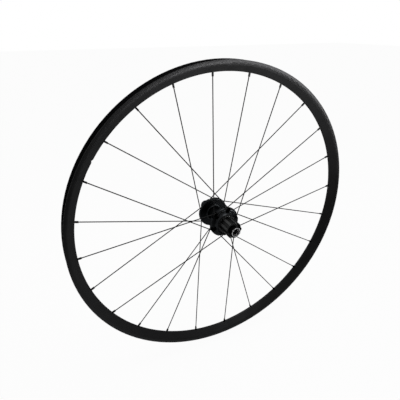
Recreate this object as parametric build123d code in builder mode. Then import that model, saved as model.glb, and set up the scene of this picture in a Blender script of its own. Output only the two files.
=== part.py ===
from build123d import *
import os
from math import acos, cos, degrees, radians, sin, tan

# Rear disc-brake bicycle wheel. The axle lies along Y, the cassette side is -Y and the brake
# rotor side is +Y. The origin is the wheel's centre, on the middle plane of the rim.
# All sizes are in millimetres and all angles in degrees.

# Rim section
rim_radius = 316.8
rim_depth = 21.0
rim_width = 27.2
rim_edge_width = 25.8
channel_width = 21.6
tyre_flange_height = 5.8
bead_seat_width = 3.6
well_depth = 2.8
well_width = 9.0
side_wall = 1.2
tyre_bed_wall = 1.3
spoke_bed_wall = 3.8
nose_radius = 3.0
flank_angle = 42.0
shoulder_radius = 8.0
valve_hole_radius = 3.25
valve_angle = 146.5

# Spokes and nipples
lug_count = 6
spoke_radius = 1.0
spoke_head_radius = 1.8
spoke_head_length = 2.2
spoke_head_setback = 4.0
spoke_head_gap = 0.3
spoke_stagger = 1.45
pull_radius = 25.6
first_nipple_angle = 154.0
nipple_square = 3.2
nipple_reach = 7.0
nipple_head_radius = 2.7
nipple_head_height = 2.4
nipple_head_lift = 0.4

# Hub shell
drive_flange_y = -22.8
rotor_flange_y = 34.3
flange_lip = 3.7
flange_web = 1.5
pocket_floor_drop = 3.0
collar_inset = 4.7
collar_height = 2.1
collar_slope = 2.1
shell_tube_radius = 15.2
shell_tube_bore = 12.4
shell_flare_radius = 19.4
shell_flare_start_y = 2.0
root_fillet_height = 2.4
drive_nose_radius = 20.3
rotor_seat_radius = 19.2
rotor_seat_width = 2.5
rotor_seat_y = 48.5
rotor_spline_length = 9.0
rotor_spline_radius = 17.3
rotor_spline_height = 0.9
rotor_spline_count = 40
rotor_spline_width = 1.3
rotor_lockring_bore = 15.2

# Axle and end caps
locknut_width = 142.0
thru_bore_radius = 6.05
axle_radius = 7.5
axle_shoulder_radius = 8.6
end_cap_wall = 5.0
end_cap_radius = 10.0
end_cap_chamfer = 0.6
end_cap_neck_length = 1.2
end_cap_shield_width = 1.5
rotor_shield_radius = 14.4
drive_shield_radius = 12.6
sleeve_radius = 9.2

# Sealed bearings
bearing_width = 7.0
hub_bearing_radius = 14.0
freehub_bearing_radius = 13.0
bearing_inner_ring_radius = 9.3
bearing_running_gap = 0.3
rotor_bearing_y = 45.0
drive_bearing_y = -13.0
freehub_bearing_spacing = 1.0

# Ratchet
ratchet_shoulder = 0.6
ratchet_cup_radius = 16.5
ratchet_ring_length = 8.3
ratchet_ring_bore = 10.6
ratchet_tooth_count = 36
ratchet_tooth_depth = 0.9
ratchet_tooth_land = 0.8
ratchet_tooth_play = 0.4
ratchet_mesh_gap = 0.25
ratchet_tooth_inner = 11.2
sliding_ring_radius = 14.4
sliding_ring_length = 6.3
sliding_spline_count = 12
sliding_spline_width = 2.4
sliding_spline_height = 0.9
sliding_clearance = 0.2
spring_length = 5.8
spring_radius = 12.3
spring_wire = 0.9
spring_turns = 3.0

# Cassette body
cup_overhang = 2.1
seal_gap = 0.35
seal_width = 1.65
seal_radius = 19.4
freehub_nose_radius = 15.9
freehub_nose_length = 2.6
freehub_collar_radius = 18.6
freehub_collar_width = 1.6
cassette_spline_length = 26.4
cassette_root_radius = 16.0
cassette_spline_radius = 17.2
cassette_spline_count = 9
cassette_spline_width = 4.6
cassette_index_width = 3.2
freehub_rib_width = 1.2
freehub_rib_bore = 11.2
cassette_lockring_bore = 15.0
lockring_bore_start = 0.4

# Fits
press_gap = 0.01
push_gap = 0.02
thread_gap = 0.04
spoke_bore_gap = 0.06
nipple_hole_gap = 0.25
pocket_clearance = 0.1
cut_overrun = 1.0

# Places along the axle, worked out from the driving sizes
locknut_y = locknut_width / 2
axle_end_y = locknut_y - end_cap_wall
rotor_bearing_end_y = rotor_bearing_y + bearing_width
shell_rotor_end_y = rotor_seat_y + rotor_spline_length
drive_bearing_end_y = drive_bearing_y - bearing_width
ratchet_seat_y = drive_bearing_end_y - ratchet_shoulder
ratchet_tip_y = ratchet_seat_y - ratchet_ring_length
sliding_tip_y = ratchet_tip_y + ratchet_tooth_depth - ratchet_mesh_gap
sliding_back_y = sliding_tip_y - sliding_ring_length
spring_seat_y = sliding_back_y - spring_length
shell_drive_end_y = ratchet_tip_y - cup_overhang
seal_face_y = shell_drive_end_y - seal_gap
freehub_face_y = seal_face_y - seal_width
cassette_start_y = freehub_face_y - freehub_collar_width
cassette_end_y = cassette_start_y - cassette_spline_length
inner_freehub_bearing_y = spring_seat_y - freehub_rib_width
inner_freehub_bearing_end_y = inner_freehub_bearing_y - bearing_width
outer_freehub_bearing_y = inner_freehub_bearing_end_y - freehub_bearing_spacing
outer_freehub_bearing_end_y = outer_freehub_bearing_y - bearing_width

# Lacing: straight spokes that lean forwards and backwards in pairs, crossing inside each lug.
# Even spokes run to the cassette side flange and odd ones to the rotor side flange.
spoke_count = 4 * lug_count
spoke_step = 360 / spoke_count
lug_step = 360 / lug_count
spoke_bed_radius = rim_radius - rim_depth
nipple_seat_radius = spoke_bed_radius + spoke_bed_wall
lace_turn = degrees(acos(pull_radius / nipple_seat_radius))
head_half_angle = ((2 * spoke_step - 2 * lace_turn) % lug_step) / 2
spoke_leans = (1, -1, -1, 1)
flange_places = {"drive": drive_flange_y, "rotor": rotor_flange_y}
outboard = {"drive": -1, "rotor": 1}

spoke_planes = {"drive": [], "rotor": []}
nipple_planes = {"drive": [], "rotor": []}
pocket_angles = {"drive": 0.0, "rotor": 0.0}


def wheel_point(radius, angle, y):
    """A point at a radius and angle about the axle, the angle running from +X towards +Z."""
    return Vector(radius * cos(radians(angle)), y, radius * sin(radians(angle)))


for index in range(spoke_count):
    side = "drive" if index % 2 == 0 else "rotor"
    lean = spoke_leans[index % 4]
    nipple_angle = first_nipple_angle - index * spoke_step
    pull_angle = nipple_angle + lean * lace_turn
    pull_y = flange_places[side] + outboard[side] * lean * spoke_stagger
    pull_point = wheel_point(pull_radius, pull_angle, pull_y)
    nipple_point = wheel_point(nipple_seat_radius, nipple_angle, 0)
    line = nipple_point - pull_point
    spoke_planes[side].append(Plane(origin=pull_point, x_dir=(0, 1, 0), z_dir=line))
    nipple_planes[side].append(Plane(origin=nipple_point, x_dir=(0, 1, 0), z_dir=line))
    if lean > 0:
        pocket_angles[side] = pull_angle + head_half_angle

spoke_reach = {
    side: (nipple_planes[side][0].origin - spoke_planes[side][0].origin).length
    for side in ("drive", "rotor")
}


def ring_section(inner_radius, outer_radius, low, high):
    """The cut face of a turned ring, drawn beside the axle in the sketch plane."""
    with Locations(((inner_radius + outer_radius) / 2, (low + high) / 2)):
        Rectangle(outer_radius - inner_radius, high - low)


os.makedirs("parts", exist_ok=True)

# Rim: half of the hollow section is drawn, mirrored and turned about the axle. A rounded nose
# takes the spokes, straight flanks widen to round shoulders, and the lips draw in to the tyre.
bead_seat_radius = rim_radius - tyre_flange_height
well_radius = bead_seat_radius - well_depth
cavity_shelf_radius = bead_seat_radius - tyre_bed_wall
cavity_roof_radius = well_radius - tyre_bed_wall
flank_sin = sin(radians(flank_angle))
flank_cos = cos(radians(flank_angle))
nose_end = (spoke_bed_radius + nose_radius * (1 - flank_sin), nose_radius * flank_cos)
flank_half_width = rim_width / 2 - shoulder_radius * (1 - flank_cos)
flank_end_radius = nose_end[0] + (flank_half_width - nose_end[1]) * flank_cos / flank_sin
flank_end = (flank_end_radius, flank_half_width)
widest = (flank_end_radius + shoulder_radius * flank_sin, rim_width / 2)
flank_wall = side_wall / flank_cos
floor_half_width = nose_end[1] + (nipple_seat_radius - nose_end[0]) * flank_sin / flank_cos - flank_wall
with BuildPart() as rim:
    with BuildSketch(Plane.XY):
        with BuildLine():
            TangentArc((spoke_bed_radius, 0), nose_end, tangent=(0, 1))
            Line(nose_end, flank_end)
            TangentArc(flank_end, widest, tangent=(flank_cos, flank_sin))
            TangentArc(widest, (rim_radius, rim_edge_width / 2), tangent=(1, 0))
            Polyline(
                (rim_radius, rim_edge_width / 2),
                (rim_radius, channel_width / 2),
                (bead_seat_radius, channel_width / 2),
                (bead_seat_radius, channel_width / 2 - bead_seat_width),
                (well_radius, well_width / 2),
                (well_radius, 0),
                (spoke_bed_radius, 0),
            )
        make_face()
        with BuildLine():
            Polyline(
                (nipple_seat_radius, 0),
                (nipple_seat_radius, floor_half_width),
                (flank_end_radius, flank_half_width - flank_wall),
                (cavity_shelf_radius, channel_width / 2),
                (cavity_shelf_radius, channel_width / 2 - bead_seat_width),
                (cavity_roof_radius, well_width / 2),
                (cavity_roof_radius, 0),
                close=True,
            )
        make_face(mode=Mode.SUBTRACT)
        mirror(about=Plane.XZ)
    revolve(axis=Axis.Y)
    with Locations(*nipple_planes["drive"], *nipple_planes["rotor"]):
        Cylinder(
            nipple_square * sin(radians(45)) + nipple_hole_gap,
            2 * (spoke_bed_wall + cut_overrun),
            mode=Mode.SUBTRACT,
        )
    valve_plane = Plane(
        origin=wheel_point(rim_radius, valve_angle, 0),
        x_dir=(0, 1, 0),
        z_dir=wheel_point(rim_radius, valve_angle, 0),
    )
    with Locations(valve_plane):
        Cylinder(valve_hole_radius, 3 * rim_depth, mode=Mode.SUBTRACT)
rim.part.label = "rim"
export_step(rim.part, "parts/rim.step")

# Spokes: plain gauge wire with a flat head at the hub end, its thread inside the nipple
spoke_head_end = spoke_head_setback + spoke_head_gap + spoke_head_length
for side in ("drive", "rotor"):
    for number, plane in enumerate(spoke_planes[side], start=1):
        with BuildPart() as spoke:
            with BuildSketch(plane.offset(-spoke_head_end)):
                Circle(spoke_radius)
            extrude(amount=spoke_head_end + spoke_reach[side])
            with BuildSketch(plane.offset(-spoke_head_end)):
                Circle(spoke_head_radius)
            extrude(amount=spoke_head_length)
        spoke.part.label = f"{side}_spoke_{number:02d}"
        export_step(spoke.part, f"parts/{side}_spoke_{number:02d}.step")

# Nipples: a hexagonal head inside the rim and a square shank that the spoke screws into
for side in ("drive", "rotor"):
    head_planes = [plane.offset(nipple_head_lift) for plane in nipple_planes[side]]
    shank_length = nipple_head_lift + spoke_bed_wall + nipple_reach
    with BuildPart() as nipples:
        with BuildSketch(*head_planes):
            RegularPolygon(nipple_head_radius, 6)
        extrude(amount=nipple_head_height)
        with BuildSketch(*head_planes):
            Rectangle(nipple_square, nipple_square)
        extrude(amount=-shank_length)
        with BuildSketch(*[plane.offset(-shank_length) for plane in head_planes]):
            Circle(spoke_radius + thread_gap)
        extrude(amount=shank_length + nipple_head_height / 2, mode=Mode.SUBTRACT)
    nipples.part.label = f"{side}_side_nipples"
    export_step(nipples.part, f"parts/{side}_side_nipples.step")

# Hub shell: a turned body with two flanges, head pockets, crossing spoke bores and rotor splines
flange_radius = pull_radius + flange_lip
pocket_half_depth = spoke_stagger + spoke_head_radius + pocket_clearance
drive_face_y = drive_flange_y - pocket_half_depth
drive_web_y = drive_flange_y + pocket_half_depth
rotor_face_y = rotor_flange_y + pocket_half_depth
rotor_web_y = rotor_flange_y - pocket_half_depth
collar_radius = flange_radius - collar_inset
rotor_neck_y = rotor_face_y + collar_height
drive_neck_y = drive_face_y - collar_height
pocket_floor = pull_radius - pocket_floor_drop
pocket_top = flange_radius + cut_overrun
pocket_slant = radians(head_half_angle)
seat_height = pull_radius * cos(pocket_slant) + spoke_head_setback * sin(pocket_slant)
seat_half_width = pull_radius * sin(pocket_slant) - spoke_head_setback * cos(pocket_slant)
pocket_floor_half = seat_half_width + (pocket_floor - seat_height) * tan(pocket_slant)
pocket_top_half = seat_half_width + (pocket_top - seat_height) * tan(pocket_slant)
spoke_bore_radius = spoke_radius + spoke_bore_gap
bore_start = spoke_head_setback + spoke_head_gap
bore_exit = flange_radius * sin(acos((pull_radius - spoke_bore_radius) / flange_radius))
rotor_spline_root = rotor_spline_radius - rotor_spline_height
with BuildPart() as hub_shell:
    with BuildSketch(Plane.XY):
        with BuildLine():
            Polyline(
                (rotor_lockring_bore, shell_rotor_end_y),
                (rotor_spline_root, shell_rotor_end_y),
                (rotor_spline_root, rotor_seat_y),
                (rotor_seat_radius, rotor_seat_y),
                (rotor_seat_radius, rotor_seat_y - rotor_seat_width),
                (collar_radius - collar_slope, rotor_neck_y),
                (collar_radius, rotor_face_y),
                (flange_radius, rotor_face_y),
                (flange_radius, rotor_web_y - flange_web),
                (shell_tube_radius + root_fillet_height, rotor_web_y - flange_web),
            )
            TangentArc(
                (shell_tube_radius + root_fillet_height, rotor_web_y - flange_web),
                (shell_tube_radius, rotor_web_y - flange_web - root_fillet_height),
                tangent=(-1, 0),
            )
            Polyline(
                (shell_tube_radius, rotor_web_y - flange_web - root_fillet_height),
                (shell_tube_radius, shell_flare_start_y),
                (shell_flare_radius, drive_web_y + flange_web),
                (flange_radius, drive_web_y + flange_web),
                (flange_radius, drive_face_y),
                (collar_radius, drive_face_y),
                (collar_radius - collar_slope, drive_neck_y),
                (drive_nose_radius, shell_drive_end_y),
                (ratchet_cup_radius + push_gap, shell_drive_end_y),
                (ratchet_cup_radius + push_gap, ratchet_seat_y),
                (hub_bearing_radius + press_gap, ratchet_seat_y),
                (hub_bearing_radius + press_gap, drive_bearing_y),
                (shell_tube_bore, drive_bearing_y),
                (shell_tube_bore, rotor_bearing_y),
                (hub_bearing_radius + press_gap, rotor_bearing_y),
                (hub_bearing_radius + press_gap, rotor_bearing_end_y + lockring_bore_start),
                (rotor_lockring_bore, rotor_bearing_end_y + lockring_bore_start),
                (rotor_lockring_bore, shell_rotor_end_y),
            )
        make_face()
    revolve(axis=Axis.Y)
    with BuildSketch(Plane.XZ.offset(-rotor_seat_y)):
        with PolarLocations(rotor_spline_radius - rotor_spline_height, rotor_spline_count):
            Rectangle(2 * rotor_spline_height, rotor_spline_width)
    extrude(amount=-rotor_spline_length)
    for side, web_y in (("drive", drive_web_y), ("rotor", rotor_web_y)):
        with BuildSketch(Plane.XZ.offset(-web_y)):
            with PolarLocations(0, lug_count, start_angle=pocket_angles[side]):
                Polygon(
                    (pocket_floor, -pocket_floor_half),
                    (pocket_top, -pocket_top_half),
                    (pocket_top, pocket_top_half),
                    (pocket_floor, pocket_floor_half),
                    align=None,
                )
        extrude(amount=-outboard[side] * (2 * pocket_half_depth + collar_height), mode=Mode.SUBTRACT)
        with Locations(*[plane.offset(-bore_start) for plane in spoke_planes[side]]):
            Cylinder(
                spoke_bore_radius,
                bore_start + bore_exit + cut_overrun,
                align=(Align.CENTER, Align.CENTER, Align.MIN),
                mode=Mode.SUBTRACT,
            )
hub_shell.part.label = "hub_shell"
export_step(hub_shell.part, "parts/hub_shell.step")

# Axle: a tube with a raised middle that the two hub bearings push against
with BuildPart() as axle:
    with BuildSketch(Plane.XY):
        ring_section(thru_bore_radius, axle_radius, -axle_end_y, axle_end_y)
        ring_section(thru_bore_radius, axle_shoulder_radius, drive_bearing_y, rotor_bearing_y)
    revolve(axis=Axis.Y)
axle.part.label = "axle"
export_step(axle.part, "parts/axle.step")

# End caps: pushed over the axle's ends, each with a dust shield and a bore for the thru axle
end_caps = (
    ("rotor_end_cap", 1, rotor_bearing_end_y, rotor_shield_radius),
    ("drive_end_cap", -1, -outer_freehub_bearing_end_y, drive_shield_radius),
)
for name, direction, seat, shield_radius in end_caps:
    shield_start = seat + end_cap_neck_length
    shield_end = shield_start + end_cap_shield_width
    with BuildPart() as end_cap:
        with BuildSketch(Plane.XY):
            with BuildLine():
                Polyline(
                    (axle_radius + push_gap, direction * seat),
                    (sleeve_radius, direction * seat),
                    (sleeve_radius, direction * shield_start),
                    (shield_radius, direction * shield_start),
                    (shield_radius, direction * shield_end),
                    (end_cap_radius, direction * shield_end),
                    (end_cap_radius, direction * (locknut_y - end_cap_chamfer)),
                    (end_cap_radius - end_cap_chamfer, direction * locknut_y),
                    (thru_bore_radius + end_cap_chamfer, direction * locknut_y),
                    (thru_bore_radius, direction * (locknut_y - end_cap_chamfer)),
                    (thru_bore_radius, direction * axle_end_y),
                    (axle_radius + push_gap, direction * axle_end_y),
                    close=True,
                )
            make_face()
        revolve(axis=Axis.Y)
    end_cap.part.label = name
    export_step(end_cap.part, f"parts/{name}.step")

# Sealed bearings: an inner ring on the axle, and an outer ring closed by its own shields
bearings = (
    ("rotor_hub_bearing", rotor_bearing_y, hub_bearing_radius),
    ("drive_hub_bearing", drive_bearing_end_y, hub_bearing_radius),
    ("inner_freehub_bearing", inner_freehub_bearing_end_y, freehub_bearing_radius),
    ("outer_freehub_bearing", outer_freehub_bearing_end_y, freehub_bearing_radius),
)
for name, low_y, outer_radius in bearings:
    with BuildPart() as inner_ring:
        with BuildSketch(Plane.XY):
            ring_section(axle_radius + press_gap, bearing_inner_ring_radius, low_y, low_y + bearing_width)
        revolve(axis=Axis.Y)
    inner_ring.part.label = f"{name}_inner_ring"
    export_step(inner_ring.part, f"parts/{name}_inner_ring.step")
    with BuildPart() as outer_ring:
        with BuildSketch(Plane.XY):
            ring_section(
                bearing_inner_ring_radius + bearing_running_gap,
                outer_radius,
                low_y,
                low_y + bearing_width,
            )
        revolve(axis=Axis.Y)
    outer_ring.part.label = f"{name}_outer_ring"
    export_step(outer_ring.part, f"parts/{name}_outer_ring.step")

# Sleeves that hold the bearings' inner rings apart on the axle
sleeves = (
    ("long_axle_sleeve", inner_freehub_bearing_y, drive_bearing_end_y),
    ("short_axle_spacer", outer_freehub_bearing_y, inner_freehub_bearing_end_y),
)
for name, low_y, high_y in sleeves:
    with BuildPart() as sleeve:
        with BuildSketch(Plane.XY):
            ring_section(axle_radius + push_gap, sleeve_radius, low_y, high_y)
        revolve(axis=Axis.Y)
    sleeve.part.label = name
    export_step(sleeve.part, f"parts/{name}.step")

# Ratchet teeth: saw-tooth grooves that widen with the radius, one flank upright to drive the wheel
tooth_pitch = 360 / ratchet_tooth_count
groove_angle = radians(tooth_pitch - ratchet_tooth_land)
play_angle = radians(ratchet_tooth_play)
groove_radii = (ratchet_tooth_inner - cut_overrun, ratchet_cup_radius + cut_overrun)
with BuildPart() as fixed_groove:
    for radius in groove_radii:
        with BuildSketch(Plane.YZ.offset(radius)):
            Polygon(
                (ratchet_tip_y - cut_overrun, 0),
                (ratchet_tip_y + ratchet_tooth_depth, 0),
                (ratchet_tip_y, radius * groove_angle),
                (ratchet_tip_y - cut_overrun, radius * groove_angle),
                align=None,
            )
    loft()
with BuildPart() as sliding_groove:
    for radius in groove_radii:
        upright = radius * play_angle
        with BuildSketch(Plane.YZ.offset(radius)):
            Polygon(
                (sliding_tip_y + cut_overrun, upright),
                (sliding_tip_y - ratchet_tooth_depth, upright),
                (sliding_tip_y, upright - radius * groove_angle),
                (sliding_tip_y + cut_overrun, upright - radius * groove_angle),
                align=None,
            )
    loft()
tooth_turns = [tooth * tooth_pitch for tooth in range(ratchet_tooth_count)]

# Fixed ratchet ring: screwed into the shell's cup, with its teeth facing the cassette body
with BuildPart() as fixed_ratchet_ring:
    with BuildSketch(Plane.XY):
        ring_section(ratchet_ring_bore, ratchet_cup_radius, ratchet_tip_y, ratchet_seat_y)
    revolve(axis=Axis.Y)
    add([fixed_groove.part.rotate(Axis.Y, turn) for turn in tooth_turns], mode=Mode.SUBTRACT)
fixed_ratchet_ring.part.label = "fixed_ratchet_ring"
export_step(fixed_ratchet_ring.part, "parts/fixed_ratchet_ring.step")

# Sliding ratchet ring: notched to ride on the splines inside the cassette body
with BuildPart() as sliding_ratchet_ring:
    with BuildSketch(Plane.XY):
        ring_section(ratchet_ring_bore, sliding_ring_radius, sliding_back_y, sliding_tip_y)
    revolve(axis=Axis.Y)
    add([sliding_groove.part.rotate(Axis.Y, turn) for turn in tooth_turns], mode=Mode.SUBTRACT)
    notch_height = sliding_spline_height + sliding_clearance
    notch_width = sliding_spline_width + 2 * sliding_clearance
    with BuildSketch(Plane.XZ.offset(-sliding_tip_y)):
        with PolarLocations(sliding_ring_radius, sliding_spline_count):
            Rectangle(2 * notch_height, notch_width)
    extrude(amount=sliding_ring_length, mode=Mode.SUBTRACT)
sliding_ratchet_ring.part.label = "sliding_ratchet_ring"
export_step(sliding_ratchet_ring.part, "parts/sliding_ratchet_ring.step")

# Ratchet spring: a coil of square wire between the sliding ring and the cassette body's rib
with BuildPart() as ratchet_spring:
    with BuildLine() as coil:
        Helix(
            pitch=(spring_length - 2 * spring_wire) / spring_turns,
            height=spring_length - 2 * spring_wire,
            radius=spring_radius,
            center=(0, spring_seat_y + spring_wire, 0),
            direction=(0, 1, 0),
        )
    with BuildSketch(Plane(origin=coil.line @ 0, z_dir=coil.line % 0, x_dir=(0, 1, 0))):
        Rectangle(spring_wire, spring_wire)
    sweep(is_frenet=True)
ratchet_spring.part.label = "ratchet_spring"
export_step(ratchet_spring.part, "parts/ratchet_spring.step")

# Cassette body: splines outside, ratchet splines, bearing seats and lockring bore inside
ratchet_bore_radius = sliding_ring_radius + sliding_clearance
freehub_nose_y = freehub_face_y + freehub_nose_length
cassette_spline_height = cassette_spline_radius - cassette_root_radius
cassette_spline_step = 360 / cassette_spline_count
with BuildPart() as freehub_body:
    with BuildSketch(Plane.XY):
        with BuildLine():
            Polyline(
                (ratchet_bore_radius, freehub_nose_y),
                (freehub_nose_radius, freehub_nose_y),
                (freehub_nose_radius, freehub_face_y),
                (freehub_collar_radius, freehub_face_y),
                (freehub_collar_radius, cassette_start_y),
                (cassette_root_radius, cassette_start_y),
                (cassette_root_radius, cassette_end_y),
                (cassette_lockring_bore, cassette_end_y),
                (cassette_lockring_bore, outer_freehub_bearing_end_y - lockring_bore_start),
                (freehub_bearing_radius + press_gap, outer_freehub_bearing_end_y - lockring_bore_start),
                (freehub_bearing_radius + press_gap, inner_freehub_bearing_y),
                (freehub_rib_bore, inner_freehub_bearing_y),
                (freehub_rib_bore, spring_seat_y),
                (ratchet_bore_radius, spring_seat_y),
                close=True,
            )
        make_face()
    revolve(axis=Axis.Y)
    with BuildSketch(Plane.XZ.offset(-cassette_start_y)):
        with PolarLocations(cassette_root_radius, 1):
            Rectangle(2 * cassette_spline_height, cassette_index_width)
        with PolarLocations(
            cassette_root_radius,
            cassette_spline_count - 1,
            start_angle=cassette_spline_step,
            angular_range=360 - 2 * cassette_spline_step,
            endpoint=True,
        ):
            Rectangle(2 * cassette_spline_height, cassette_spline_width)
        Circle(cassette_lockring_bore, mode=Mode.SUBTRACT)
    extrude(amount=cassette_spline_length)
    with BuildSketch(Plane.XZ.offset(-spring_seat_y)):
        with PolarLocations(ratchet_bore_radius, sliding_spline_count):
            Rectangle(2 * sliding_spline_height, sliding_spline_width)
        Circle((ratchet_bore_radius + freehub_nose_radius) / 2, mode=Mode.INTERSECT)
    extrude(amount=spring_seat_y - freehub_nose_y)
freehub_body.part.label = "freehub_body"
export_step(freehub_body.part, "parts/freehub_body.step")

# Freehub seal: a rubber lip on the cassette body's nose, just clear of the turning shell
with BuildPart() as freehub_seal:
    with BuildSketch(Plane.XY):
        ring_section(freehub_nose_radius + push_gap, seal_radius, freehub_face_y, seal_face_y)
    revolve(axis=Axis.Y)
freehub_seal.part.label = "freehub_seal"
export_step(freehub_seal.part, "parts/freehub_seal.step")
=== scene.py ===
import math
import bmesh
import bpy
from mathutils import Matrix, Vector


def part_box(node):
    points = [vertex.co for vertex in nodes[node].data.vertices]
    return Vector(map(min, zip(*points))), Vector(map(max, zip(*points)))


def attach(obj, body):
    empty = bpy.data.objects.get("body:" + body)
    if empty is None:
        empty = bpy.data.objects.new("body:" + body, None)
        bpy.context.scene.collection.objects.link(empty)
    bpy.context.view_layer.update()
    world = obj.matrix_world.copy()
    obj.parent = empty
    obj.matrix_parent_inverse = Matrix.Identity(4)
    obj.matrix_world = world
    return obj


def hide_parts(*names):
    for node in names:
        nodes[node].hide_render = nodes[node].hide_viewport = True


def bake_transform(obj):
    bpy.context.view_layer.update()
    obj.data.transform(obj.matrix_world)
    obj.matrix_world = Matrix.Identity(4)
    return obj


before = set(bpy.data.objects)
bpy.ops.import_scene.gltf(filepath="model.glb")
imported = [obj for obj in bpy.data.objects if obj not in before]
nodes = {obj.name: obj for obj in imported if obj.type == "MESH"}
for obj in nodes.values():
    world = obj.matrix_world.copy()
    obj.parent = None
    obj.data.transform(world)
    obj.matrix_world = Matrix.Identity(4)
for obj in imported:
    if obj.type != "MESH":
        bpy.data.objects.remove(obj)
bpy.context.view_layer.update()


# Axle tube and spacer sleeves: turned from aluminium bar, with the fine rings of the lathe tool
# left on them. They sit inside the hub and the cassette body, and show only through the bore.
def reckon(tree, operation, first, second=None):
    """The result of a Math node. Each value is a socket or a plain number."""
    node = tree.nodes.new("ShaderNodeMath")
    node.operation = operation
    for socket, value in zip(node.inputs, (first, second)):
        if isinstance(value, (int, float)):
            socket.default_value = value
        elif value is not None:
            tree.links.new(value, socket)
    return node.outputs["Value"]


def graded(tree, value, to_range, from_range=(0.0, 1.0)):
    """The result of a Map Range node, which stays between the two ends of its range."""
    node = tree.nodes.new("ShaderNodeMapRange")
    for end, before, after in zip(("Min", "Max"), from_range, to_range):
        node.inputs["From " + end].default_value = before
        node.inputs["To " + end].default_value = after
    tree.links.new(value, node.inputs["Value"])
    return node.outputs["Result"]


def dyed_between(tree, share, first, second):
    """A colour between two others, by a share from 0 to 1."""
    share_in, first_in, second_in, colour_out = 0, 6, 7, 2
    node = tree.nodes.new("ShaderNodeMix")
    node.data_type = "RGBA"
    node.inputs[first_in].default_value = (*first, 1)
    node.inputs[second_in].default_value = (*second, 1)
    tree.links.new(share, node.inputs[share_in])
    return node.outputs[colour_out]


def from_axle(tree, place):
    """Sockets with the distance of each point from the axle's line and its place along it."""
    split = tree.nodes.new("ShaderNodeSeparateXYZ")
    tree.links.new(place.outputs["Object"], split.inputs["Vector"])
    across = tree.nodes.new("ShaderNodeCombineXYZ")
    tree.links.new(split.outputs["X"], across.inputs["X"])
    tree.links.new(split.outputs["Z"], across.inputs["Y"])
    radius = tree.nodes.new("ShaderNodeVectorMath")
    radius.operation = "LENGTH"
    tree.links.new(across.outputs["Vector"], radius.inputs[0])
    return radius.outputs["Value"], split.outputs["Y"]


def new_metal(name):
    """A new metal material, with its node tree and its shader."""
    material = bpy.data.materials.new(name)
    material.use_nodes = True
    shader = material.node_tree.nodes["Principled BSDF"]
    shader.inputs["Metallic"].default_value = 1.0
    return material, material.node_tree, shader


def uneven_finish(tree, shader, place, scale, detail, roughness_range, first, second):
    """Roughness and colour that vary in soft patches between two values each."""
    patches = tree.nodes.new("ShaderNodeTexNoise")
    patches.inputs["Scale"].default_value = scale
    patches.inputs["Detail"].default_value = detail
    tree.links.new(place.outputs["Object"], patches.inputs["Vector"])
    share = patches.outputs["Fac"]
    tree.links.new(graded(tree, share, roughness_range), shader.inputs["Roughness"])
    tree.links.new(dyed_between(tree, share, first, second), shader.inputs["Base Color"])


def turned_metal(name, colour, roughness, ring_pitch, ring_depth):
    """Bare metal with tool rings about the axle, and a finish that varies a little."""
    material, tree, shader = new_metal(name)
    place = tree.nodes.new("ShaderNodeTexCoord")
    radius, height = from_axle(tree, place)
    along = reckon(tree, "ADD", radius, height)
    turns = reckon(tree, "MULTIPLY", along, 2 * math.pi / ring_pitch)
    bump = tree.nodes.new("ShaderNodeBump")
    bump.inputs["Strength"].default_value = 0.25
    bump.inputs["Distance"].default_value = ring_depth
    tree.links.new(reckon(tree, "SINE", turns), bump.inputs["Height"])
    tree.links.new(bump.outputs["Normal"], shader.inputs["Normal"])
    uneven_finish(
        tree, shader, place, scale=220.0, detail=4.0,
        roughness_range=(roughness * 0.8, roughness * 1.25),
        first=[c * 0.86 for c in colour], second=colour)
    return material


def finish_nodes(material, names):
    """Gives solids that are already the right shape their finish."""
    for name in names:
        nodes[name].data.materials.clear()
        nodes[name].data.materials.append(material)


axle_metal = turned_metal(
    "turned_alloy", colour=(0.58, 0.58, 0.59), roughness=0.3,
    ring_pitch=0.00035, ring_depth=0.00002)
finish_nodes(axle_metal, ["axle", "long_axle_sleeve", "short_axle_spacer"])


# Sealed bearings: ground steel rings, pressed into the hub shell and the cassette body.
# Their inner rings stand on the axle and its sleeves.
bearing_metal = turned_metal(
    "ground_steel", colour=(0.5, 0.5, 0.5), roughness=0.2, ring_pitch=0.0002, ring_depth=0.00001)
finish_nodes(bearing_metal, [name for name in nodes if "bearing" in name])


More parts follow.
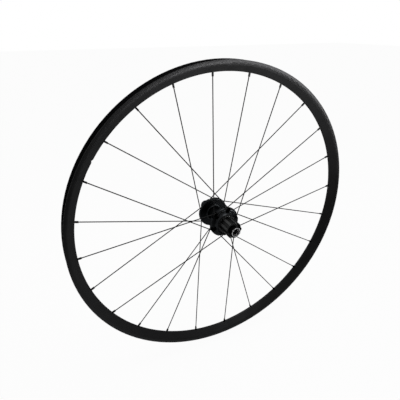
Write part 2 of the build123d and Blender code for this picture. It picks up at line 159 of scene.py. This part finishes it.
# Hub shell: one piece turned and milled from aluminium, with two flanges whose lugs take the spoke
# heads, then polished a little and anodised black. Its rounded edges catch the light.
# Its sizes are in millimetres, as radius and place along the axle.
def anodised_black(name, colour, roughness, edge_shine, grain_size, grain_depth,
                   drawn=0.0, edge_round=0.0):
    """Black anodised aluminium: a fine grain under a dark, slightly uneven dye. Drawn or rolled
    stock shines across its drawing lines, which run round the axle."""
    material, tree, shader = new_metal(name)
    shader.inputs["Specular Tint"].default_value = (edge_shine, edge_shine, edge_shine, 1)
    if drawn:
        shader.inputs["Anisotropic"].default_value = drawn
        shader.inputs["Anisotropic Rotation"].default_value = 0.25
        lines = tree.nodes.new("ShaderNodeTangent")
        lines.direction_type = "RADIAL"
        lines.axis = "Y"
        tree.links.new(lines.outputs["Tangent"], shader.inputs["Tangent"])
    place = tree.nodes.new("ShaderNodeTexCoord")
    grain = tree.nodes.new("ShaderNodeTexNoise")
    grain.inputs["Scale"].default_value = 1 / grain_size
    grain.inputs["Detail"].default_value = 3.0
    tree.links.new(place.outputs["Object"], grain.inputs["Vector"])
    bump = tree.nodes.new("ShaderNodeBump")
    bump.inputs["Strength"].default_value = 0.3
    bump.inputs["Distance"].default_value = grain_depth
    tree.links.new(grain.outputs["Fac"], bump.inputs["Height"])
    if edge_round:
        edges = tree.nodes.new("ShaderNodeBevel")
        edges.samples = 6
        edges.inputs["Radius"].default_value = edge_round
        tree.links.new(edges.outputs["Normal"], bump.inputs["Normal"])
    tree.links.new(bump.outputs["Normal"], shader.inputs["Normal"])
    uneven_finish(
        tree, shader, place, scale=45.0, detail=5.0,
        roughness_range=(roughness * 0.85, roughness * 1.15),
        first=[c * 0.8 for c in colour], second=[c * 1.2 for c in colour])
    return material


hub_finish = anodised_black(
    "hub_anodised", colour=(0.014, 0.015, 0.016), roughness=0.3, edge_shine=0.4,
    grain_size=0.0004, grain_depth=0.00001, edge_round=0.0006)
mm_in_metre = 1000


def rounded_profile(corners):
    """A turned outline: each corner is (radius, place along the axle, rounding)."""
    arc_steps = 8
    line = []
    for index, (radius, place, rounding) in enumerate(corners):
        here = Vector((radius, place))
        if not rounding:
            line.append(here)
            continue
        before = (Vector(corners[index - 1][:2]) - here).normalized()
        after = (Vector(corners[(index + 1) % len(corners)][:2]) - here).normalized()
        half = before.angle(after) / 2
        centre = here + (before + after).normalized() * rounding / math.sin(half)
        first = here + before * rounding / math.tan(half) - centre
        last = here + after * rounding / math.tan(half) - centre
        for step in range(arc_steps + 1):
            share = step / arc_steps
            line.append(centre + (first * (1 - share) + last * share).normalized() * rounding)
    return line


def solid(name, points, faces):
    """A mesh object with its faces turned outwards."""
    mesh = bpy.data.meshes.new(name)
    mesh.from_pydata(points, [], faces)
    shape = bmesh.new()
    shape.from_mesh(mesh)
    bmesh.ops.recalc_face_normals(shape, faces=shape.faces)
    shape.to_mesh(mesh)
    shape.free()
    piece = bpy.data.objects.new(name, mesh)
    bpy.context.scene.collection.objects.link(piece)
    return piece


def turned(name, corners, around):
    """A closed solid turned about the axle from an outline."""
    profile = rounded_profile(corners)
    count = len(profile)
    points = []
    faces = []
    for turn in range(around):
        angle = 2 * math.pi * turn / around
        for p in profile:
            points.append((p.x * math.cos(angle) / mm_in_metre, p.y / mm_in_metre,
                           p.x * math.sin(angle) / mm_in_metre))
        here, there = turn * count, (turn + 1) % around * count
        for k in range(count):
            n = (k + 1) % count
            faces.append((here + k, here + n, there + n, there + k))
    return solid(name, points, faces)


def bars(name, outline, places):
    """Straight bars along the axle: a (radius, side) outline, set at each (angle, start, end)."""
    points = []
    faces = []
    count = len(outline)
    for angle, start, end in places:
        first = len(points)
        for along in (start, end):
            for radius, side in outline:
                points.append((
                    (radius * math.cos(angle) - side * math.sin(angle)) / mm_in_metre,
                    along / mm_in_metre,
                    (radius * math.sin(angle) + side * math.cos(angle)) / mm_in_metre))
        faces.append([first + k for k in range(count)])
        faces.append([first + count + k for k in range(count)])
        for k in range(count):
            n = (k + 1) % count
            faces.append([first + k, first + n, first + count + n, first + count + k])
    return solid(name, points, faces)


def flat_bar(foot, top, half_width):
    """The outline of a bar with straight sides."""
    return (foot, -half_width), (top, -half_width), (top, half_width), (foot, half_width)


def machined(name, body, steps, material):
    """Cuts tools out of a turned body or adds bars to it, and keeps one closed mesh."""
    crease = math.radians(32)
    for work, tool in steps:
        step = body.modifiers.new(tool.name, "BOOLEAN")
        step.operation = work
        step.solver = "EXACT"
        step.object = tool
    shape = bpy.context.evaluated_depsgraph_get()
    mesh = bpy.data.meshes.new_from_object(body.evaluated_get(shape))
    for tool in [body] + [tool for work, tool in steps]:
        bpy.data.objects.remove(tool)
    mesh.name = name
    mesh.shade_smooth()
    mesh.set_sharp_from_angle(angle=crease)
    mesh.materials.clear()
    mesh.materials.append(material)
    piece = bpy.data.objects.new(name, mesh)
    bpy.context.scene.collection.objects.link(piece)
    return piece


flange_radius = 32.8
drive_faces = (-26.1, -16.9)
rotor_faces = (27.3, 37.4)
cone_foot, cone_top, cone_height = 24.2, 22.1, 2.1
rotor_end, rotor_seat = 57.5, 48.5
rotor_spline_root, rotor_spline_top = 16.4, 17.3
shoulder_radius, shoulder_start = 19.2, 46.0
waist_radius, waist_drive_end = 15.2, 2.0
ratchet_wall, ratchet_cup, ratchet_cup_floor = 19.4, 16.52, -20.6
drive_end, drive_end_radius = -31.0, 20.3
bearing_seat, drive_bearing_stop, rotor_bearing_stop = 14.01, -13.0, 45.0
thread_bore, thread_floor = 15.2, 52.4
axle_bore = 12.4
hub_body = turned("hub_body", [
    (thread_bore, rotor_end, 0), (rotor_spline_root, rotor_end, 0.4),
    (rotor_spline_root, rotor_seat, 0), (shoulder_radius, rotor_seat, 0.5),
    (shoulder_radius, shoulder_start, 0.5), (cone_top, rotor_faces[1] + cone_height, 1.0),
    (cone_foot, rotor_faces[1], 1.0), (flange_radius, rotor_faces[1], 6.0),
    (flange_radius, rotor_faces[0], 2.4), (waist_radius, rotor_faces[0], 3.0),
    (waist_radius, waist_drive_end, 6.0), (ratchet_wall, drive_faces[1], 1.5),
    (flange_radius, drive_faces[1], 2.4), (flange_radius, drive_faces[0], 5.5),
    (cone_foot, drive_faces[0], 1.0), (cone_top, drive_faces[0] - cone_height, 1.0),
    (drive_end_radius, drive_end, 0.6), (ratchet_cup, drive_end, 0.3),
    (ratchet_cup, ratchet_cup_floor, 0), (bearing_seat, ratchet_cup_floor, 0),
    (bearing_seat, drive_bearing_stop, 0), (axle_bore, drive_bearing_stop, 0),
    (axle_bore, rotor_bearing_stop, 0), (bearing_seat, rotor_bearing_stop, 0),
    (bearing_seat, thread_floor, 0), (thread_bore, thread_floor, 0)], around=180)

pocket_floor, pocket_floor_half = 22.6, 3.93
pocket_mouth, pocket_mouth_half = 34.0, 8.06
pocket_outline = (
    (pocket_floor, -pocket_floor_half), (pocket_mouth, -pocket_mouth_half),
    (pocket_mouth, pocket_mouth_half), (pocket_floor, pocket_floor_half))
lug_pitch = 60
drive_pocket_turn, drive_pocket_start, drive_pocket_end = 19, -29.5, -19.45
rotor_pocket_turn, rotor_pocket_start, rotor_pocket_end = 34, 30.95, 40.8
lug_turns = range(0, 360, lug_pitch)
pocket_cutter = bars("pocket_cutter", pocket_outline, [
    (math.radians(drive_pocket_turn + turn), drive_pocket_start, drive_pocket_end)
    for turn in lug_turns] + [
    (math.radians(rotor_pocket_turn + turn), rotor_pocket_start, rotor_pocket_end)
    for turn in lug_turns])

rotor_spline_foot, rotor_spline_half, rotor_spline_pitch = 15.7, 0.65, 9
rotor_spline_start, rotor_spline_end = 48.2, 57.3
rotor_splines = bars(
    "rotor_splines", flat_bar(rotor_spline_foot, rotor_spline_top, rotor_spline_half),
    [(math.radians(turn), rotor_spline_start, rotor_spline_end)
     for turn in range(0, 360, rotor_spline_pitch)])

hub_shell = machined(
    "hub_shell_milled", hub_body,
    [("DIFFERENCE", pocket_cutter), ("UNION", rotor_splines)], hub_finish)
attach(hub_shell, "wheel")
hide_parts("hub_shell")


# Rotor lockring thread: fine thread cut in the mouth of the shell, inside the brake rotor splines.
# A helical ridge stands on the plain bore.
def sized_tree(name, sizes):
    """A new geometry nodes tree with named sizes and a finish, and the sockets that give them."""
    tree = bpy.data.node_groups.new(name, "GeometryNodeTree")
    tree.interface.new_socket("Geometry", in_out="INPUT", socket_type="NodeSocketGeometry")
    for size in sizes:
        tree.interface.new_socket(size, in_out="INPUT", socket_type="NodeSocketFloat")
    tree.interface.new_socket("Finish", in_out="INPUT", socket_type="NodeSocketMaterial")
    tree.interface.new_socket("Geometry", in_out="OUTPUT", socket_type="NodeSocketGeometry")
    return tree, tree.nodes.new("NodeGroupInput").outputs


def finish_tree(tree, shape, finish):
    """Ends a tree with its shape as plain mesh in its finish."""
    realize = tree.nodes.new("GeometryNodeRealizeInstances")
    tree.links.new(shape, realize.inputs["Geometry"])
    paint = tree.nodes.new("GeometryNodeSetMaterial")
    tree.links.new(realize.outputs["Geometry"], paint.inputs["Geometry"])
    tree.links.new(finish, paint.inputs["Material"])
    result = tree.nodes.new("NodeGroupOutput")
    tree.links.new(paint.outputs["Geometry"], result.inputs["Geometry"])


def inside_thread_tree():
    """Geometry nodes that sweep a small round ridge along a helix about the axle."""
    tree, given = sized_tree(
        "inside_thread", ("Bore radius", "Ridge radius", "Turns", "Length", "Start"))
    helix = tree.nodes.new("GeometryNodeCurveSpiral")
    helix.inputs["Resolution"].default_value = 96
    tree.links.new(given["Turns"], helix.inputs["Rotations"])
    tree.links.new(given["Bore radius"], helix.inputs["Start Radius"])
    tree.links.new(given["Bore radius"], helix.inputs["End Radius"])
    tree.links.new(given["Length"], helix.inputs["Height"])
    ridge = tree.nodes.new("GeometryNodeCurvePrimitiveCircle")
    ridge.inputs["Resolution"].default_value = 6
    tree.links.new(given["Ridge radius"], ridge.inputs["Radius"])
    sweep = tree.nodes.new("GeometryNodeCurveToMesh")
    sweep.inputs["Fill Caps"].default_value = True
    tree.links.new(helix.outputs["Curve"], sweep.inputs["Curve"])
    tree.links.new(ridge.outputs["Curve"], sweep.inputs["Profile Curve"])
    offset = tree.nodes.new("ShaderNodeCombineXYZ")
    tree.links.new(given["Start"], offset.inputs["Y"])
    lay = tree.nodes.new("GeometryNodeTransform")
    lay.inputs["Rotation"].default_value = (-math.pi / 2, 0, 0)
    tree.links.new(sweep.outputs["Mesh"], lay.inputs["Geometry"])
    tree.links.new(offset.outputs["Vector"], lay.inputs["Translation"])
    smooth = tree.nodes.new("GeometryNodeSetShadeSmooth")
    tree.links.new(lay.outputs["Geometry"], smooth.inputs["Geometry"])
    finish_tree(tree, smooth.outputs["Geometry"], given["Finish"])
    return tree


def grow(name, tree, sizes, seeds=None):
    """Runs a geometry nodes tree with these sizes, on seed points if it has any, and keeps the
    mesh that it makes."""
    if seeds is None:
        seeds = bpy.data.meshes.new(name)
    holder = bpy.data.objects.new(name, seeds)
    bpy.context.scene.collection.objects.link(holder)
    grower = holder.modifiers.new("grow", "NODES")
    grower.node_group = tree
    for socket in tree.interface.items_tree:
        if socket.in_out == "INPUT" and socket.name in sizes:
            grower[socket.identifier] = sizes[socket.name]
    shape = bpy.context.evaluated_depsgraph_get()
    grown = bpy.data.meshes.new_from_object(holder.evaluated_get(shape))
    holder.modifiers.remove(grower)
    holder.data = grown
    return holder


thread_tree = inside_thread_tree()
rotor_thread = grow("rotor_lockring_thread", thread_tree, {
    "Bore radius": 0.0152, "Ridge radius": 0.0003, "Turns": 4.2,
    "Length": 0.0044, "Start": 0.0527, "Finish": hub_finish})
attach(rotor_thread, "wheel")


# Ratchet: two hardened steel rings with saw teeth. One is screwed into the hub shell, and the other
# slides on splines inside the cassette body.
ratchet_metal = turned_metal(
    "hardened_steel", colour=(0.33, 0.33, 0.34), roughness=0.32,
    ring_pitch=0.0003, ring_depth=0.00001)
finish_nodes(ratchet_metal, ["fixed_ratchet_ring", "sliding_ratchet_ring"])


# Ratchet spring: a coil of bright wire that stands in the cassette body and keeps the rings meshed.
# It shortens as the sliding ring is pushed back.
spring_metal = turned_metal(
    "spring_wire", colour=(0.45, 0.45, 0.45), roughness=0.25, ring_pitch=0.0003, ring_depth=0.00001)
spring_low, spring_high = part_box("ratchet_spring")
wire_radius = 0.00045
spring_coil = grow("ratchet_spring_coil", thread_tree, {
    "Bore radius": spring_high[0] - wire_radius, "Ridge radius": wire_radius, "Turns": 3.0,
    "Length": spring_high[1] - spring_low[1] - 2 * wire_radius,
    "Start": spring_low[1] + wire_radius, "Finish": spring_metal})
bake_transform(spring_coil)
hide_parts("ratchet_spring")


# Cassette body: aluminium, hard anodised dark grey, with painted shade in the milled grooves and a
# painted highlight on the spline tops. Its mouth, the last 2 mm, is threaded inside for the
# cassette lockring.
freehub_finish = anodised_black(
    "freehub_anodised", colour=(0.04, 0.041, 0.041), roughness=0.34, edge_shine=0.4,
    grain_size=0.0004, grain_depth=0.00001, edge_round=0.0003)
groove_radius, top_radius = 0.0161, 0.0169
# Painted light: the colour is darkened towards the groove floors as painted shade and lightened on
# the spline tops as a painted highlight, by distance from the axle.
groove_painted_shade, top_painted_highlight = 0.45, 1.3
freehub_tree = freehub_finish.node_tree
freehub_colour = freehub_tree.nodes["Principled BSDF"].inputs["Base Color"]
freehub_dye = freehub_colour.links[0].from_socket
freehub_radius = from_axle(freehub_tree, freehub_tree.nodes["Texture Coordinate"])[0]
spline_painted_light = freehub_tree.nodes.new("ShaderNodeVectorMath")
spline_painted_light.operation = "SCALE"
freehub_tree.links.new(freehub_dye, spline_painted_light.inputs[0])
freehub_painted_light = graded(
    freehub_tree, freehub_radius, (groove_painted_shade, top_painted_highlight), (groove_radius, top_radius))
freehub_tree.links.new(freehub_painted_light, spline_painted_light.inputs["Scale"])
freehub_tree.links.new(spline_painted_light.outputs["Vector"], freehub_colour)
finish_nodes(freehub_finish, ["freehub_body"])

cassette_end, mouth_end = -61.0, -63.0
mouth_bore, mouth_wall = 15.0, 16.0
mouth_ring = turned("mouth_ring", [
    (mouth_bore, cassette_end, 0), (mouth_wall, cassette_end, 0),
    (mouth_wall, mouth_end, 0.4), (mouth_bore, mouth_end, 0.3)], around=120)
spline_foot, spline_top, spline_setback = 15.5, 17.2, 0.3
spline_end = mouth_end + spline_setback
narrow_half, wide_half, spline_pitch = 1.6, 2.3, 40
narrow_spline = bars(
    "narrow_spline", flat_bar(spline_foot, spline_top, narrow_half),
    [(0.0, cassette_end, spline_end)])
wide_splines = bars(
    "wide_splines", flat_bar(spline_foot, spline_top, wide_half),
    [(math.radians(turn), cassette_end, spline_end)
     for turn in range(spline_pitch, 360, spline_pitch)])
freehub_mouth = machined(
    "freehub_mouth", mouth_ring,
    [("UNION", narrow_spline), ("UNION", wide_splines)], freehub_finish)
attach(freehub_mouth, "freehub")
cassette_thread = grow("cassette_lockring_thread", thread_tree, {
    "Bore radius": 0.0150, "Ridge radius": 0.0003, "Turns": 5.4,
    "Length": 0.0056, "Start": -0.0627, "Finish": freehub_finish})
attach(cassette_thread, "freehub")


# Freehub seal: a ring of soft black rubber with a lip, moulded in one piece. It stands between the
# cassette body and the hub shell, and keeps water out of the ratchet.
seal_rubber = anodised_black(
    "seal_rubber", colour=(0.008, 0.008, 0.008), roughness=0.7, edge_shine=0.2,
    grain_size=0.0003, grain_depth=0.00003)
seal_rubber.node_tree.nodes["Principled BSDF"].inputs["Metallic"].default_value = 0.0
finish_nodes(seal_rubber, ["freehub_seal"])


# End caps: turned aluminium that pushes over the axle's ends, anodised black. The faces that
# clamp in the frame are turned bright again after anodising.
def capped_finish(name, dark, bright, face_start, face_inner, face_outer, bore_edge):
    """Black anodising with a bare ring on the end face and a bare bore."""
    edge_blur = 0.0002
    material, tree, shader = new_metal(name)
    radius, height = from_axle(tree, tree.nodes.new("ShaderNodeTexCoord"))
    at_end = reckon(tree, "GREATER_THAN", reckon(tree, "ABSOLUTE", height), face_start)
    past_inner = graded(
        tree, radius, (0.0, 1.0), (face_inner - edge_blur, face_inner + edge_blur))
    within_outer = graded(
        tree, radius, (0.0, 1.0), (face_outer + edge_blur, face_outer - edge_blur))
    ring = reckon(tree, "MULTIPLY", past_inner, within_outer)
    end_ring = reckon(tree, "MULTIPLY", ring, at_end)
    in_bore = reckon(tree, "LESS_THAN", radius, bore_edge)
    bare = reckon(tree, "MAXIMUM", end_ring, in_bore)
    tree.links.new(dyed_between(tree, bare, dark, bright), shader.inputs["Base Color"])
    tree.links.new(graded(tree, bare, (0.4, 0.45)), shader.inputs["Roughness"])
    return material


cap_finish = capped_finish(
    "end_cap_anodised", dark=(0.012, 0.012, 0.012), bright=(0.62, 0.62, 0.63),
    face_start=0.0703, face_inner=0.0085, face_outer=0.0094, bore_edge=0.0062)
finish_nodes(cap_finish, ["drive_end_cap", "rotor_end_cap"])


# Spokes: drawn stainless wire with a flat head, coated black. Each is pushed through a lug of the
# flange from its pocket, and runs straight from there to its nipple.
spoke_finish = anodised_black(
    "spoke_black", colour=(0.012, 0.012, 0.012), roughness=0.4, edge_shine=0.15,
    grain_size=0.0003, grain_depth=0.000001)
finish_nodes(spoke_finish, [name for name in nodes if "_spoke_" in name])


# Nipples: turned and milled aluminium, a hexagonal head inside the rim and a square shank with
# rounded corners outside, anodised black. Each stands on its spoke's line.
def nipple_tree():
    """Geometry nodes that set one nipple on each point, along the point's spoke line."""
    tree, given = sized_tree("nipple_set", (
        "Shank width", "Corner radius", "Shank length", "Head radius", "Head height", "Head lift"))

    def rod(profile, start, end, steps, taper_from):
        """A straight bar of this profile, drawn in a little at its far end."""
        end_width = 0.8
        low = tree.nodes.new("ShaderNodeCombineXYZ")
        tree.links.new(start, low.inputs["Z"])
        high = tree.nodes.new("ShaderNodeCombineXYZ")
        tree.links.new(end, high.inputs["Z"])
        line = tree.nodes.new("GeometryNodeCurvePrimitiveLine")
        tree.links.new(low.outputs["Vector"], line.inputs["Start"])
        tree.links.new(high.outputs["Vector"], line.inputs["End"])
        stepped = tree.nodes.new("GeometryNodeResampleCurve")
        stepped.inputs["Count"].default_value = steps
        tree.links.new(line.outputs["Curve"], stepped.inputs["Curve"])
        place = tree.nodes.new("GeometryNodeInputIndex")
        taper = graded(tree, place.outputs["Index"], (1.0, end_width), (taper_from, steps - 1))
        sweep = tree.nodes.new("GeometryNodeCurveToMesh")
        sweep.inputs["Fill Caps"].default_value = True
        tree.links.new(stepped.outputs["Curve"], sweep.inputs["Curve"])
        tree.links.new(profile, sweep.inputs["Profile Curve"])
        tree.links.new(taper, sweep.inputs["Scale"])
        return sweep.outputs["Mesh"]

    square = tree.nodes.new("GeometryNodeCurvePrimitiveQuadrilateral")
    tree.links.new(given["Shank width"], square.inputs["Width"])
    tree.links.new(given["Shank width"], square.inputs["Height"])
    corners = tree.nodes.new("GeometryNodeFilletCurve")
    corners.mode = "POLY"
    corners.inputs["Count"].default_value = 3
    tree.links.new(square.outputs["Curve"], corners.inputs["Curve"])
    tree.links.new(given["Corner radius"], corners.inputs["Radius"])
    shank_end = reckon(tree, "MULTIPLY", given["Shank length"], -1.0)
    shank = rod(
        corners.outputs["Curve"], given["Head lift"], shank_end, steps=24, taper_from=22)
    hexagon = tree.nodes.new("GeometryNodeCurvePrimitiveCircle")
    hexagon.inputs["Resolution"].default_value = 6
    tree.links.new(given["Head radius"], hexagon.inputs["Radius"])
    head_top = reckon(tree, "ADD", given["Head lift"], given["Head height"])
    head = rod(hexagon.outputs["Curve"], given["Head lift"], head_top, steps=6, taper_from=4)
    whole = tree.nodes.new("GeometryNodeJoinGeometry")
    tree.links.new(shank, whole.inputs["Geometry"])
    tree.links.new(head, whole.inputs["Geometry"])
    axis = tree.nodes.new("GeometryNodeInputNamedAttribute")
    axis.data_type = "FLOAT_VECTOR"
    axis.inputs["Name"].default_value = "spoke_line"
    stand = tree.nodes.new("FunctionNodeAlignRotationToVector")
    stand.axis = "Z"
    tree.links.new(axis.outputs["Attribute"], stand.inputs["Vector"])
    flats = tree.nodes.new("FunctionNodeAlignRotationToVector")
    flats.axis = "X"
    flats.pivot_axis = "Z"
    flats.inputs["Vector"].default_value = (0, 1, 0)
    tree.links.new(stand.outputs["Rotation"], flats.inputs["Rotation"])
    copies = tree.nodes.new("GeometryNodeInstanceOnPoints")
    tree.links.new(given["Geometry"], copies.inputs["Points"])
    tree.links.new(whole.outputs["Geometry"], copies.inputs["Instance"])
    tree.links.new(flats.outputs["Rotation"], copies.inputs["Rotation"])
    finish_tree(tree, copies.outputs["Instances"], given["Finish"])
    return tree


def spoke_line(name):
    """The rim end and the direction of a spoke, from its two ends along its length."""
    rim_end_reach, hub_end_reach = 0.0025, 0.004
    corners = [v.co for v in nodes[name].data.vertices]
    rim_end = max(corners, key=lambda c: math.hypot(c.x, c.z))
    hub_end = max(corners, key=lambda c: (c - rim_end).length)
    rim_part = [c for c in corners if (c - rim_end).length < rim_end_reach]
    hub_part = [c for c in corners if (c - hub_end).length < hub_end_reach]
    outer = sum(rim_part, Vector()) / len(rim_part)
    inner = sum(hub_part, Vector()) / len(hub_part)
    return outer, (outer - inner).normalized()


nipple_finish = anodised_black(
    "nipple_black", colour=(0.010, 0.010, 0.010), roughness=0.4, edge_shine=0.15,
    grain_size=0.0003, grain_depth=0.00001)
nipple_seat_radius = 0.2996
nipples = nipple_tree()
for side in ("drive", "rotor"):
    points = []
    lines = []
    for name in sorted(nodes):
        if name.startswith(side + "_spoke_"):
            rim_end, line = spoke_line(name)
            middle = Vector((rim_end.x, 0, rim_end.z))
            step = (nipple_seat_radius - middle.length) / middle.normalized().dot(line)
            points.append(rim_end + line * step)
            lines.append(line)
    seats = bpy.data.meshes.new(side + "_nipple_seats")
    seats.from_pydata(points, [], [])
    directions = seats.attributes.new("spoke_line", "FLOAT_VECTOR", "POINT")
    directions.data.foreach_set("vector", [c for line in lines for c in line])
    nipple_set = grow(side + "_nipple_set", nipples, {
        "Shank width": 0.0032, "Corner radius": 0.0005, "Shank length": 0.0108,
        "Head radius": 0.0027, "Head height": 0.0024, "Head lift": 0.0004,
        "Finish": nipple_finish}, seats)
    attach(nipple_set, "wheel")
    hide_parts(side + "_side_nipples")


# Rim: hollow aluminium extrusion rolled into a hoop and anodised satin black. The drawing lines
# of the extrusion run round it, so it shines in a broad fan where a lamp faces it.
rim_finish = anodised_black(
    "rim_anodised", colour=(0.02, 0.02, 0.0205), roughness=0.46, edge_shine=0.5,
    grain_size=0.0005, grain_depth=0.000002, drawn=0.65)
finish_nodes(rim_finish, ["rim"])


# Studio: a white table just below the wheel, a white surround behind it that falls off to a dim
# room in front, and two soft lamps.
floor_height = -0.34
floor_front = -0.42
floor_size = 12.0
floor_mesh = bpy.data.meshes.new("floor")
floor_mesh.from_pydata(
    [(-floor_size, floor_front, floor_height), (floor_size, floor_front, floor_height),
     (floor_size, floor_size, floor_height), (-floor_size, floor_size, floor_height)],
    [], [(0, 1, 2, 3)])
floor = bpy.data.objects.new("floor", floor_mesh)
bpy.context.scene.collection.objects.link(floor)


def seen_directly(tree):
    """A socket that is 1 for what the camera sees, also by reflection or through glass."""
    path = tree.nodes.new("ShaderNodeLightPath").outputs
    shiny = reckon(tree, "MAXIMUM", path["Is Camera Ray"], path["Is Glossy Ray"])
    return reckon(tree, "MAXIMUM", shiny, path["Is Transmission Ray"])


white_share = 0.96
floor_paint = bpy.data.materials.new("floor_paint")
floor_paint.use_nodes = True
paint = floor_paint.node_tree
matt = paint.nodes["Principled BSDF"]
matt.inputs["Base Color"].default_value = (0.85, 0.85, 0.85, 1)
matt.inputs["Roughness"].default_value = 0.9
white = paint.nodes.new("ShaderNodeEmission")
white.inputs["Strength"].default_value = 1.0
blend = paint.nodes.new("ShaderNodeMixShader")
paint.links.new(
    reckon(paint, "MULTIPLY", seen_directly(paint), white_share), blend.inputs["Fac"])
paint.links.new(matt.outputs["BSDF"], blend.inputs[1])
paint.links.new(white.outputs["Emission"], blend.inputs[2])
paint.links.new(blend.outputs["Shader"], paint.nodes["Material Output"].inputs["Surface"])
floor_mesh.materials.append(floor_paint)

world = bpy.data.worlds.new("studio")
bpy.context.scene.world = world
world.use_nodes = True
sky = world.node_tree
ambient = sky.nodes["Background"]
ambient.inputs["Color"].default_value = (1, 1, 1, 1)
ambient.inputs["Strength"].default_value = 0.3
surround = sky.nodes.new("ShaderNodeBackground")
surround.inputs["Color"].default_value = (1, 1, 1, 1)
room_back = (0, 1, 0.6)
dim_depth, white_depth = -0.75, 0.1
dim_light, white_light = 0.2, 1.0
direction = sky.nodes.new("ShaderNodeTexCoord")
depth = sky.nodes.new("ShaderNodeVectorMath")
depth.operation = "DOT_PRODUCT"
depth.inputs[1].default_value = room_back
sky.links.new(direction.outputs["Generated"], depth.inputs[0])
dimming = graded(
    sky, depth.outputs["Value"], (dim_light, white_light), (dim_depth, white_depth))
ray = sky.nodes.new("ShaderNodeLightPath")
brightness = reckon(sky, "MAXIMUM", dimming, ray.outputs["Is Camera Ray"])
sky.links.new(brightness, surround.inputs["Strength"])
mix = sky.nodes.new("ShaderNodeMixShader")
sky.links.new(seen_directly(sky), mix.inputs["Fac"])
sky.links.new(ambient.outputs["Background"], mix.inputs[1])
sky.links.new(surround.outputs["Background"], mix.inputs[2])
sky.links.new(mix.outputs["Shader"], sky.nodes["World Output"].inputs["Surface"])


def softbox(name, place, aim, width, height, power, spread):
    """A soft lamp with a grid, so that it lights mainly what it faces."""
    lamp = bpy.data.lights.new(name, "AREA")
    lamp.shape = "RECTANGLE"
    lamp.size = width
    lamp.size_y = height
    lamp.energy = power
    lamp.spread = math.radians(spread)
    holder = bpy.data.objects.new(name, lamp)
    bpy.context.scene.collection.objects.link(holder)
    holder.location = place
    holder.rotation_euler = (Vector(aim) - Vector(place)).to_track_quat("-Z", "Y").to_euler()
    holder.visible_camera = False


softbox("key_softbox", place=(0.62, -0.80, 0.18), aim=(-0.02, 0.0, 0.34),
        width=0.7, height=0.5, power=1.9, spread=40)
softbox("top_softbox", place=(0.3, -0.2, 1.6), aim=(0.0, 0.0, 0.0),
        width=1.0, height=0.8, power=12.0, spread=180)


# Camera: above and to the left of the cassette side, near the wheel and with a fairly wide lens.
# It looks past the wheel's centre by the two offsets, in metres.
view_azimuth = math.radians(-25.35)
view_elevation = math.radians(25.24)
view_distance = 0.79685
view_right = -0.04123
view_up = 0.03693
view_lens = 33.7
back = Vector((
    math.sin(view_azimuth) * math.cos(view_elevation),
    -math.cos(view_azimuth) * math.cos(view_elevation),
    math.sin(view_elevation),
))
right = Vector((math.cos(view_azimuth), math.sin(view_azimuth), 0))
up = back.cross(right)
lens = bpy.data.cameras.new("camera")
lens.lens = view_lens
lens.sensor_width = 36.0
lens.clip_start = 0.01
camera = bpy.data.objects.new("camera", lens)
bpy.context.scene.collection.objects.link(camera)
stand = Matrix((right, up, back)).transposed().to_4x4()
stand.translation = right * view_right + up * view_up + back * view_distance
camera.matrix_world = stand
bpy.context.scene.camera = camera
bpy.context.scene.view_settings.view_transform = "Standard"
